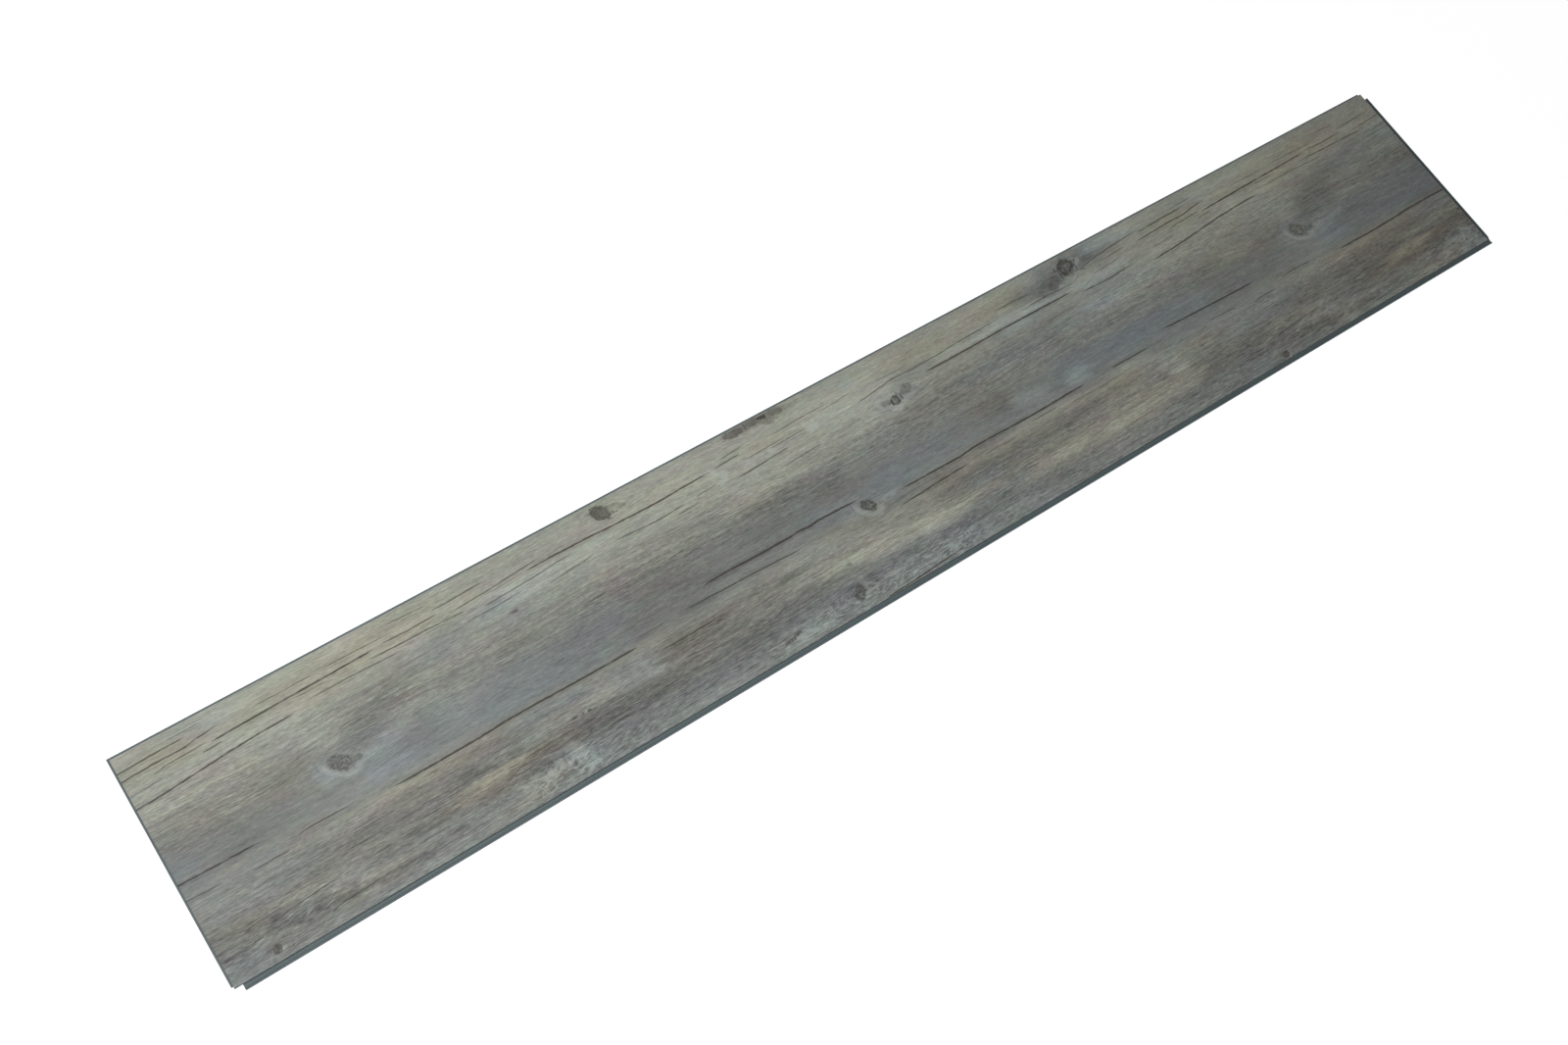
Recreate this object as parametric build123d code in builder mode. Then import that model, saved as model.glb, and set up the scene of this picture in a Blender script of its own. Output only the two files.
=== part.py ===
from build123d import *
import os

# A vinyl floor plank that clicks into its neighbours on all four sides.
# Millimetres. X runs along the plank and Z up from its underside, with the origin under the middle of the face.
# The sides that carry a groove and a lip face -Y and +X, and the sides that carry a tongue face +Y and -X.

# Face and layers
face_length = 1220.0
face_width = 180.0
board_thickness = 5.0
decor_thickness = 0.5  # printed film together with the clear layer over it
face_bevel = 0.3

# Groove sides: core left above the groove, and the lip that reaches out below it
upper_lip_thickness = 1.0
long_lip_reach = 3.9
long_lip_thickness = 1.2
long_ridge_height = 0.7
long_ridge_width = 1.3
end_lip_reach = 5.3
end_lip_thickness = 1.9
end_ridge_height = 1.0
end_ridge_width = 1.7
ridge_flank_run = 0.3  # how far the ridge's inner flank leans
heel_offset = 0.8  # from the joint plane out to where the groove's sloping floor turns level

# Tongue sides
long_tongue_reach = 1.9
end_tongue_reach = 1.5
tongue_step = 0.25  # from the higher lip floor up to the tongue's underside

# Fits between one plank and the next
joint_gap = 0.05  # between faces that slide past each other
ridge_top_gap = 0.1
tongue_tip_gap = 0.3
lip_nose_gap = 0.4
back_corner_gap = 1.4  # more room where the end lip stops short of the back edge

# Rounded corners
cutter_radius = 0.2  # inside corners, as the milling cutters leave them
crest_radius = 0.15  # outside corners of the ridge, the hook and the groove's mouth
heel_radius = 1.0
nose_radius = 0.4  # tongue and lip noses
wall_share = 0.45  # the most of a wall that one rounded corner may take

# Heights that both joints share
core_top = board_thickness - decor_thickness
groove_top = core_top - upper_lip_thickness
tongue_top = groove_top - joint_gap
tongue_bottom = max(long_lip_thickness, end_lip_thickness) + tongue_step
groove_bottom = tongue_bottom - joint_gap
tongue_nose_radius = min(nose_radius, wall_share * (tongue_top - tongue_bottom))


def shoulder_setback(lip_reach):
    """How far in the underside is milled away on a tongue side, so that the next plank's lip fits under it."""
    return lip_reach + lip_nose_gap


def milled_section(span, groove_side, tongue_reach, lip_reach, lip_thickness, ridge_height, ridge_width):
    """Closed outline of the core across one pair of edges.

    The span is the face's width there, groove_side is +1 or -1 for the side where the groove is,
    and every corner is given as its distance out from the joint plane, its height and its radius.
    """
    ridge_top = lip_thickness + ridge_height
    ridge_foot = lip_reach - ridge_width
    lip_nose_radius = min(nose_radius, wall_share * ridge_height)
    groove_depth = tongue_reach + tongue_tip_gap
    shoulder = shoulder_setback(lip_reach)
    groove_edge = [
        (0, core_top, 0),
        (0, groove_top, crest_radius),
        (-groove_depth, groove_top, cutter_radius),
        (-groove_depth, groove_bottom, cutter_radius),
        (heel_offset, lip_thickness, heel_radius),
        (ridge_foot, lip_thickness, cutter_radius),
        (ridge_foot + ridge_flank_run, ridge_top, crest_radius),
        (lip_reach, ridge_top, lip_nose_radius),
        (lip_reach, 0, crest_radius),
    ]
    tongue_edge = [
        (-shoulder, 0, 0),
        (-shoulder, ridge_top + ridge_top_gap, cutter_radius),
        (joint_gap - ridge_foot - ridge_flank_run, ridge_top + ridge_top_gap, cutter_radius),
        (joint_gap - ridge_foot, lip_thickness + joint_gap, crest_radius),
        (-heel_offset, lip_thickness + joint_gap, heel_radius),
        (tongue_reach, tongue_bottom, tongue_nose_radius),
        (tongue_reach, tongue_top, tongue_nose_radius),
        (0, tongue_top, 0),
        (0, core_top, 0),
    ]
    corners = [(groove_side * (span / 2 + out), height) for out, height, _ in groove_edge]
    corners += [(-groove_side * (span / 2 + out), height) for out, height, _ in tongue_edge]
    radii = [radius for _, _, radius in groove_edge + tongue_edge]
    return FilletPolyline(*corners, radius=radii, close=True)


# Core board: the two long sides are milled along the whole blank, and then the two ends across it
with BuildPart() as core_board:
    with BuildSketch(Plane.YZ):
        with BuildLine():
            milled_section(
                face_width,
                -1,
                long_tongue_reach,
                long_lip_reach,
                long_lip_thickness,
                long_ridge_height,
                long_ridge_width,
            )
        make_face()
    extrude(amount=face_length / 2 + end_lip_reach, both=True)

    with BuildSketch(Plane.XZ):
        with BuildLine():
            milled_section(
                face_length,
                1,
                end_tongue_reach,
                end_lip_reach,
                end_lip_thickness,
                end_ridge_height,
                end_ridge_width,
            )
        make_face()
    extrude(amount=face_width / 2 + long_lip_reach, both=True, mode=Mode.INTERSECT)

    # The long lip stops where the underside is milled away for the lip of the plank beyond the left end
    front_edge = -face_width / 2
    with BuildSketch(Plane.XY):
        with Locations((-face_length / 2 - end_tongue_reach, front_edge - long_lip_reach)):
            Rectangle(
                end_tongue_reach + shoulder_setback(end_lip_reach),
                long_lip_reach + long_tongue_reach + tongue_tip_gap,
                align=(Align.MIN, Align.MIN),
            )
    extrude(amount=groove_bottom, mode=Mode.SUBTRACT)

    # The end lip stops short of the back edge in the same way
    with BuildSketch(Plane.XY):
        with Locations((face_length / 2, face_width / 2 + long_tongue_reach)):
            Rectangle(
                end_lip_reach,
                long_tongue_reach + shoulder_setback(long_lip_reach) + back_corner_gap,
                align=(Align.MIN, Align.MAX),
            )
    extrude(amount=core_top, mode=Mode.SUBTRACT)

# Decor layer: the printed face, from joint plane to joint plane, with its small bevel all round
with BuildPart() as decor_layer:
    with BuildSketch(Plane.XY.offset(core_top)):
        Rectangle(face_length, face_width)
    extrude(amount=decor_thickness)
    chamfer(decor_layer.faces().sort_by(Axis.Z)[-1].edges(), face_bevel)

core_board.part.label = "core_board"
decor_layer.part.label = "decor_layer"

os.makedirs("parts", exist_ok=True)
export_step(core_board.part, "parts/core_board.step")
export_step(decor_layer.part, "parts/decor_layer.step")
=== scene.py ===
import math

import bpy
import numpy as np
from bpy.props import FloatProperty, FloatVectorProperty, IntProperty, PointerProperty
from mathutils import Matrix, Vector


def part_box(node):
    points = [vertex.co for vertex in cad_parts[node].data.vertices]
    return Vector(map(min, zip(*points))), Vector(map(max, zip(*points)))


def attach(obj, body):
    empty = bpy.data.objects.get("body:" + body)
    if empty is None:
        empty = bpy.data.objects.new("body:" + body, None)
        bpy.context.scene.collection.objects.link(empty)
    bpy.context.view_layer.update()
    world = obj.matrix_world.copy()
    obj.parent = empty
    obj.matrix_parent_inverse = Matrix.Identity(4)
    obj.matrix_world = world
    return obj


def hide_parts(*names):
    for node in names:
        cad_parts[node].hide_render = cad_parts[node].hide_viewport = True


bl_info = {
    "name": "Click Floor Plank",
    "version": (1, 0, 0),
    "blender": (4, 5, 0),
    "location": "3D View > Sidebar > Plank",
    "description": "Dresses a click vinyl floor plank with its weathered wood print, milled core and studio",
    "category": "Object",
}

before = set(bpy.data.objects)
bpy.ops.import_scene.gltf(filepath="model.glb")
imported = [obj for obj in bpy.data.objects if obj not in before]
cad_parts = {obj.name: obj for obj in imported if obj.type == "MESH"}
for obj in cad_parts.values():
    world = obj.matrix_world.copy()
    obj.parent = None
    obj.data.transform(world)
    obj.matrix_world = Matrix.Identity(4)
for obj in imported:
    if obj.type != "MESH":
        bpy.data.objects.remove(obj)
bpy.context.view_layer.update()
DECOR_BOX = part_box("decor_layer")
MM = 0.001

# The print, drawn in the lists below. Places are millimetres on the face: along from the tongue end, across from the
# groove side.
# The print roller turns once in PRINT_REPEAT, and each turn lands PRINT_DRIFT further across.
PRINT_REPEAT = 933.0
PRINT_DRIFT = -3.5
PRINT_TURNS = (-1, 0, 1)

# Lightness and warmth across the whole board, in steps of display brightness (1/255) from the mean grey.
# Warmth is how much redder than blue the print is.
ACROSS = (0, 10, 20, 32, 45, 56, 63, 68, 75, 95, 110, 120, 130, 140, 160, 180)
LIGHT_ACROSS = (-5, -7, -9, -7, -5, -3, 0, -3, -7, -8, -6, 2, 9, 13, 16, 19)
WARM_ACROSS = (-5, -4, -2, 1, 2, 3, 3, 0, -4, -4, 0, 2, 2, 3, 5, 4)
STREAKY_ACROSS = (0.8, 0.9, 1, 1, 1, 0.85, 0.5, 0.2, 0.1, 0.25, 0.9, 1, 0.9, 0.6, 0.4, 0.35)

# Lighter and darker streaks: start, end, place across, half width, change of lightness, and the rise to the end
# unless the streak is level
LIGHT_STREAKS = (
    (400, 645, 150, 26, 9.5), (560, 650, 150, 18, 8), (640, 790, 165, 14, -3), (640, 835, 128, 12, -12),
    (140, 208, 112, 12, -15, 24), (210, 350, 128, 9, -6), (226, 250, 146, 5, -7), (600, 690, 154, 5, 3, -2),
    (690, 812, 148.5, 3, 17), (834, 892, 147, 5, 13), (780, 870, 164, 9, -20), (806, 842, 157, 7, -17, 3),
    (500, 562, 176, 4, -22), (110, 122, 95, 6, 8), (122, 150, 117, 6, 8), (0, 100, 95, 15, -4),
    (110, 300, 88, 22, 4.5), (140, 182, 89, 6, 8, 10), (172, 208, 88, 9, -4), (195, 230, 107, 5, 6),
    (358, 425, 88, 22, -11), (400, 560, 100, 14, -5), (470, 580, 110, 6, -10), (540, 572, 95, 10, -3),
    (560, 640, 115, 6, -2), (700, 728, 90, 8, -13), (730, 762, 83, 7, 13, -3), (780, 800, 79, 7, 17),
    (805, 900, 120, 10, 9), (128, 172, 78, 4, 8), (90, 135, 60, 5, 9), (130, 240, 61, 4, 4), (0, 90, 62, 12, 2),
    (490, 618, 54, 14, 11, -8), (420, 500, 62, 4, 3), (700, 870, 62, 5, 7), (538, 650, 37, 6, 16, -6),
    (600, 668, 33, 4.5, 10), (60, 250, 46, 9, -11), (0, 60, 50, 8, 5), (296, 362, 46, 5, 11, 1), (240, 300, 50, 5, 6),
    (362, 432, 49, 8, -16), (472, 500, 52, 3, -13), (430, 480, 46, 8, -3), (616, 656, 53, 9, -13),
    (650, 838, 49, 5, -11), (664, 700, 40, 4, -6), (850, 890, 52, 6, 5), (866, 886, 39, 4, 17), (190, 215, 44, 4, -8),
    (885, 978, 27, 11, -13), (100, 175, 31, 5, -6), (182, 240, 34.2, 4, 17), (118, 185, 24, 5, -6),
    (235, 430, 32, 9, -15), (280, 380, 30, 7, -8), (195, 245, 24, 5, -8), (410, 505, 29, 8, -13),
    (420, 450, 24, 6, -7), (500, 620, 21, 4, -5), (605, 700, 23, 6, -12), (685, 892, 27, 5.5, 18, 1),
    (740, 870, 40, 5, 5), (35, 182, 19, 4, -15, -9), (66, 155, 21, 3, 11, -4), (98, 114, 12, 4, 7),
    (228, 292, 13, 9, 5), (267, 284, 14, 9, 8), (280, 330, 6, 4, 3), (440, 484, 8, 6, 9), (452, 480, 7, 4, 12),
    (696, 766, 14, 5, -8), (852, 905, 12, 5, -4), (360, 420, 3, 3, 6), (500, 560, 15, 7, -3), (80, 142, 149, 5, 8),
    (195, 234, 124, 4, 9), (285, 385, 149, 7, 11), (305, 340, 131, 4, 8), (270, 360, 88, 17, -7),
    (235, 330, 68, 2, -8), (424, 475, 81, 3, -12), (475, 520, 80.5, 2, -6), (425, 460, 121, 5, -6),
    (492, 562, 122, 5, 10, -3), (545, 612, 62, 3, -9), (458, 545, 40, 4, 13), (545, 622, 29, 3, 9),
    (360, 395, 44, 3, -3), (52, 152, 10.5, 3, -11), (265, 278, 24, 4, 7), (212, 264, 46, 3, 9), (195, 292, 58, 3, -2),
    (20, 98, 82, 4, -4), (235, 262, 162, 4, 8), (745, 800, 155, 4, 13), (270, 440, 14, 9, -6), (655, 692, 152, 3, -6),
    (870, 930, 171, 5, 8), (816, 850, 173, 6, -11), (838, 872, 177, 4, -14), (856, 905, 168, 5.5, -17, -6),
    (764, 792, 141.5, 3, 13), (636, 660, 131.5, 4, 6), (650, 745, 138, 4, 7), (838, 885, 118, 4, 5),
    (880, 908, 157, 6, 9), (892, 948, 135, 14, 6), (66, 182, 176, 4, 8), (796, 842, 47, 3, 8), (784, 822, 14, 4, 6),
    (540, 563, 68.5, 2.5, 11), (577, 596, 70.5, 3, 10), (474, 490, 151, 5, 12), (498, 513, 151, 3, 8),
    (521, 533, 150, 3, 9), (561, 575, 149.5, 4, 14), (430, 446, 34, 2, 8, 7), (145, 172, 95, 2, 7),
    (618, 645, 42, 2, -3), (110, 135, 89, 3, 5), (90, 112, 103, 5, -4), (40, 78, 108, 5, 7), (160, 210, 109, 4, 7),
    (262, 295, 112, 4, -9), (540, 580, 108, 4, 10), (528, 556, 82.5, 4, 10), (528, 548, 73, 3, -7),
    (612, 645, 74, 5, 8), (410, 470, 127, 6, -7), (640, 685, 131, 5, 7), (832, 866, 112, 6, -9), (826, 862, 65, 4, 9),
    (862, 886, 50, 6, 9), (675, 720, 67, 4, -6), (778, 832, 24, 10, 9), (730, 764, 28, 5, 6), (98, 128, 16, 4, 6),
    (14, 52, 9, 9, -4), (198, 250, 24, 5, -7), (198, 222, 6, 4, 7), (474, 500, 9, 5, -8), (362, 384, 49, 4, -6),
    (150, 175, 29, 4, -4), (305, 340, 141, 4, 6), (60, 130, 152, 14, 5), (905, 930, 120, 4, 7), (345, 370, 54, 3, 6),
    (400, 435, 33, 4, 6), (220, 262, 83, 6, -5), (215, 250, 142, 5, -4), (268, 280, 6, 5, 6), (128, 232, 155, 9, 8),
    (0, 130, 148, 5, 4), (250, 295, 128, 4, 9), (310, 395, 139.5, 3, 6), (444, 464, 155, 4, 10),
    (336, 392, 40.5, 4, 9), (342, 366, 53, 3, 7), (402, 442, 40.5, 4.5, 9), (720, 760, 45, 3, -7),
    (690, 750, 156, 5, 6), (40, 75, 23, 4, -7), (15, 45, 45, 5, -6), (150, 190, 35, 4, -7), (240, 264, 29, 4.5, -8),
    (310, 335, 11, 6, -7), (275, 350, 41.5, 3.5, -8), (250, 295, 51, 3, -7), (530, 566, 10, 4, -6),
    (586, 622, 22, 4, 7), (540, 612, 27, 3, 6), (20, 90, 34, 4, 4), (592, 608, 50, 4, -3), (270, 282, 24, 4, 7),
    (85, 105, 83, 5, 5), (245, 285, 157, 5, 6), (300, 342, 51, 6, 5), (350, 370, 43, 5, 6), (103, 127, 14, 4, 3),
    (155, 185, 6.5, 5, 7), (124, 143, 115, 6, 6), (100, 133, 153, 6, -6), (440, 470, 34, 4, -7),
    (545, 582, 145, 5, -6), (465, 500, 120, 5, 6), (500, 560, 133, 4, 4), (570, 602, 110, 4, 6), (402, 432, 100, 5, 6),
    (330, 368, 92, 8, 3), (250, 285, 28, 3, 6), (398, 430, 29, 4, 7), (405, 470, 71, 4, -4), (195, 242, 57, 3, -5),
    (30, 100, 10, 8, -4), (0, 32, 30, 6, -4), (860, 928, 142, 3, -6), (690, 762, 143, 2.5, -5), (695, 725, 34, 4, -4),
    (872, 892, 38, 4, 5), (915, 952, 175, 4, 6), (635, 672, 168, 7, 5), (25, 80, 147, 4, 3), (0, 112, 132, 4, 5),
    (100, 136, 129, 5, 4), (90, 150, 35.5, 4, 5), (540, 575, 95, 12, -4), (440, 540, 93, 8, -3), (700, 800, 172, 6, 4),
    (30, 60, 60, 4, -4), (60, 100, 171, 5, 3), (603, 635, 42, 4, 5), (668, 702, 21, 5, 5), (738, 767, 12, 4, 5),
    (795, 850, 45, 10, 4), (885, 916, 50, 5, 4), (100, 170, 150, 6, -3), (225, 262, 33, 4, -4), (190, 222, 10, 6, -4),
    (128, 150, 89, 4, -4), (270, 330, 140, 20, 2), (488, 512, 53, 3, 5), (715, 745, 86, 6, -3), (575, 600, 62, 5, -4),
    (170, 200, 60, 4, 4), (235, 290, 12, 9, -7), (0, 60, 12, 9, -2), (840, 895, 172, 6, -3), (700, 740, 120, 14, -2),
    (120, 200, 34, 9, -2), (600, 700, 10, 8, 3),
)

# Painted light and shade: slow brightening and darkening of this one plank, standing in for the lamp's uneven fall-off,
# which the next turn of the roller doesn't repeat, in the same form
PAINTED_LIGHT_ONCE = (
    (1085, 1330, 112, 62, -5), (940, 1330, 8, 13, 4), (700, 1090, 90, 110, 2), (-60, 620, 58, 13, -2),
)
# Slow change of warmth of this one plank, which the next turn of the roller doesn't repeat, in the same form
WARM_ONCE = (
    (1075, 1330, 32, 34, 4),
)

# Warmer and cooler streaks, in the same form with a change of warmth
WARM_STREAKS = (
    (0, 50, 165, 7, 3), (28, 62, 157, 4, 5), (120, 240, 162, 12, 6), (250, 276, 160, 5, 6), (210, 355, 138, 10, -5),
    (265, 292, 144, 6, -4), (250, 350, 148, 6, -2), (0, 100, 56, 12, -5), (10, 60, 48, 6, -4), (110, 125, 97, 7, -4),
    (135, 172, 90, 12, -7), (180, 360, 85, 14, -5), (225, 290, 77, 5, -4), (360, 420, 85, 15, 3),
    (530, 680, 82, 14, -6), (570, 620, 78, 9, -3), (690, 730, 92, 10, 5), (680, 780, 82, 9, -4), (780, 802, 80, 8, -6),
    (806, 945, 86, 12, -9), (120, 245, 60, 5, 5), (240, 300, 58, 5, -10), (245, 262, 44, 4, -5),
    (172, 262, 33, 4.5, 11), (190, 245, 25, 5, 5), (360, 430, 50, 12, 3), (500, 640, 50, 16, 2, -8),
    (545, 668, 36, 5, 4, -2), (620, 870, 58, 7, 4), (815, 840, 57, 5, 8), (845, 900, 60, 7, -5), (645, 685, 44, 5, -7),
    (690, 895, 30, 9, 7), (260, 700, 14, 14, -4), (265, 292, 15, 8, -5), (450, 600, 16, 10, -3), (-5, 28, 8, 10, -5),
    (75, 150, 14, 8, 5), (200, 260, 8, 5, 6), (20, 112, 68, 6, 5), (808, 880, 169, 11, -10), (800, 895, 145, 7, -6),
    (700, 870, 123, 7, -7), (765, 800, 147, 8, -4), (350, 375, 125, 5, 4), (425, 480, 141, 7, 2),
    (515, 550, 157, 4, 5), (655, 720, 164, 8, 5), (400, 480, 162, 8, 2), (606, 620, 167, 2.5, -11),
    (630, 668, 137, 6, -6), (560, 640, 112, 8, -3), (720, 795, 113, 6, -4), (30, 75, 172, 5, -5),
    (10, 110, 108, 10, 5), (80, 112, 102, 6, 5), (128, 156, 100, 5, 4), (20, 90, 66, 4, -6), (34, 60, 52, 3, 2),
    (140, 185, 77, 7, -5), (320, 362, 50, 10, -7), (230, 268, 24, 4, -8), (20, 130, 13, 8, 4), (350, 400, 26, 5, 4),
    (535, 590, 93, 8, 6), (505, 540, 83, 6, -4), (600, 690, 67, 5, 6), (770, 810, 90, 14, -5), (755, 800, 141, 5, -6),
    (835, 920, 128, 6, -6), (895, 955, 65, 6, -7), (770, 830, 18, 6, 5), (640, 700, 28, 4, -4), (610, 645, 12, 10, -4),
    (790, 830, 50, 4, 4), (175, 240, 151, 3, -5), (570, 700, 148, 4, -4), (290, 330, 70, 4, -5), (490, 540, 57, 5, -5),
    (15, 50, 166, 5, 5), (80, 115, 164, 5, 5), (585, 622, 62, 4, -6), (290, 410, 152, 3, -3), (80, 165, 105, 4, -3),
    (165, 250, 28, 6, 4), (25, 85, 33, 6, 4), (70, 115, 62, 4, 4), (75, 110, 45, 4, 4), (0, 30, 88, 5, 4),
    (228, 255, 60, 4, 5), (40, 80, 130, 5, 4), (278, 330, 134, 3, 4), (155, 215, 57, 4, 2), (690, 740, 93, 6, 4),
    (715, 778, 150, 5, -8), (795, 842, 152, 8, -5), (842, 895, 145, 4, -4), (868, 920, 173, 6, -10),
    (795, 822, 174, 5, -3), (825, 882, 82, 9, -5), (100, 128, 62.5, 6, -4), (240, 300, 72, 5, -3),
    (92, 112, 22, 5, -3), (514, 532, 97, 6, -4), (370, 435, 72, 12, -2), (465, 510, 121, 7, 5), (520, 572, 127, 4, 5),
    (525, 562, 141, 3, 4), (512, 552, 64, 4, 4), (440, 460, 12, 5, 4), (725, 792, 167, 7, 5), (675, 758, 110, 3, 4),
    (95, 168, 146, 4, 4), (240, 278, 132, 3, 4), (255, 290, 114, 5, 3), (155, 262, 154, 5, 4), (175, 208, 168, 6, 4),
    (255, 288, 34, 5, 5), (885, 917, 53, 5, 5), (812, 842, 42, 8, 4), (0, 40, 69, 5, 4), (225, 262, 14, 6, 3),
    (490, 530, 40, 5, 3), (660, 690, 88, 10, 3), (232, 264, 161, 4, -5), (98, 134, 143, 3, -5), (800, 905, 137, 4, -3),
    (812, 842, 144, 4, 5), (112, 130, 94, 8, -3), (815, 840, 80, 8, 4), (860, 900, 53, 4, -3), (400, 480, 86, 6, 2),
    (340, 400, 108, 10, 2), (375, 420, 128, 5, 3),
)

# Rough-sawn, scuffed patches, in the same form with a strength
SCUFFED = (
    (0, 700, 7, 10, 0.25), (222, 300, 15, 13, 0.75), (300, 345, 7, 7, 0.35), (440, 500, 8, 8, 0.6),
    (500, 625, 11, 11, 0.55), (20, 150, 22, 11, 0.45), (430, 462, 36, 9, 0.5), (700, 935, 8, 9, 0.35),
    (600, 700, 8, 7, 0.3),
)

# Where the grain climbs: middle along, middle across, half length, half width, rise
SWELLS = (
    (300, 150, 110, 26, 7), (560, 146, 130, 24, 5), (-20, 148, 110, 16, 5), (860, 156, 90, 22, 5),
    (150, 120, 50, 22, 5), (740, 115, 110, 16, 5),
)

# Knots: along, across, the two half sizes, tilt in degrees, darkness, how much of it is a dark rim, how mottled,
# and how pale the wood is round it. A darkness below 0 makes a pale disc.
KNOTS = (
    (129.5, 99, 8.5, 5.6, -38, 0.66, 0.4, 0.8, 1), (141, 96.5, 5, 2, -12, 0.4, 0, 0.4, 0.2),
    (35, 8, 3.4, 2.8, 35, 1, 0.3, 0.6, 0.3), (385, 170, 9, 6, -35, 0.76, 0, 0.2, 0.1),
    (397, 169, 8, 3, -10, 0.4, 0, 0.2, 0), (642, 136, 4.9, 4.3, 20, 0.9, 0.25, 0.9, 0.8),
    (656, 140.5, 6.5, 4, 15, 0.42, 0, 0.25, 0.3), (633, 137.5, 3.2, 2.2, 20, 0.4, 0, 0.25, 0.3),
    (569, 71.3, 6.6, 4.6, -42, 0.92, 0.35, 0.8, 0.9), (521, 14.5, 7.4, 3.7, 62, 0.65, 0.35, 0.7, 0.4),
    (847.3, 167.5, 7.6, 6.8, 25, 1.35, 0.75, 1, 0.6), (829, 159.3, 9, 5, 42, 0.32, 0, 0.2, 0),
    (510, 176, 10, 3.6, -4, 0.55, 0, 0.2, 0), (529, 177, 7, 3.2, 0, 0.55, 0, 0.25, 0),
    (538, 177, 4.5, 1.4, -6, 1, 0, 0.2, 0), (540, 171, 6, 2.4, -24, 0.35, 0, 0.3, 0),
    (550, 176, 8, 3.2, -10, 0.35, 0, 0.3, 0), (285, 42.5, 2.6, 0.9, 0, 0.75, 0, 0.3, 0),
    (296.5, 42, 1.8, 0.9, 0, 0.85, 0, 0.3, 0), (289, 134.3, 3.5, 1.2, -8, 0.5, 0, 0.5, 0),
    (453, 9.8, 6, 1.4, 8, 0.7, 0, 0.7, 0), (461, 12.2, 3.5, 1, 5, 0.9, 0, 0.4, 0),
    (268.5, 14, 1.8, 2.2, 0, 0.6, 0, 0.5, 0.4), (255.5, 16.5, 2, 0.7, 0, 0.7, 0, 0.2, 0),
    (258, 18.3, 4.6, 4.2, 0, -0.42, 0.55, 0, 0), (248, 15, 5.5, 5.2, 0, -0.22, 0, 0, 0),
    (273, 18, 9, 6.5, 64, -0.3, 0.1, 0, 0), (271.5, 6, 1.2, 2.2, 0, 0.5, 0, 0.2, 0),
    (860.5, 167.6, 3.8, 2.2, 42, -0.38, 0, 0, 0), (832.5, 153.8, 3.6, 2, 10, -0.4, 0, 0, 0),
    (859.5, 159.2, 3.6, 1.2, -18, 0.4, 0, 0.2, 0), (479, 154.5, 5, 1.9, -52, -0.55, 0, 0, 0),
    (484.5, 149.6, 4.4, 3, 0, -0.6, 0, 0, 0), (480.5, 144.5, 4.6, 1.9, 38, -0.5, 0, 0, 0),
    (507.5, 147.5, 5.5, 2.4, 0, -0.5, 0, 0, 0), (529, 148.8, 4.4, 1.8, -20, -0.55, 0, 0, 0),
    (568.5, 149.4, 6.5, 2.7, 0, -0.75, 0, 0, 0), (527, 38.3, 2.6, 1.2, 0, 0.5, 0, 0.4, 0),
)

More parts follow.
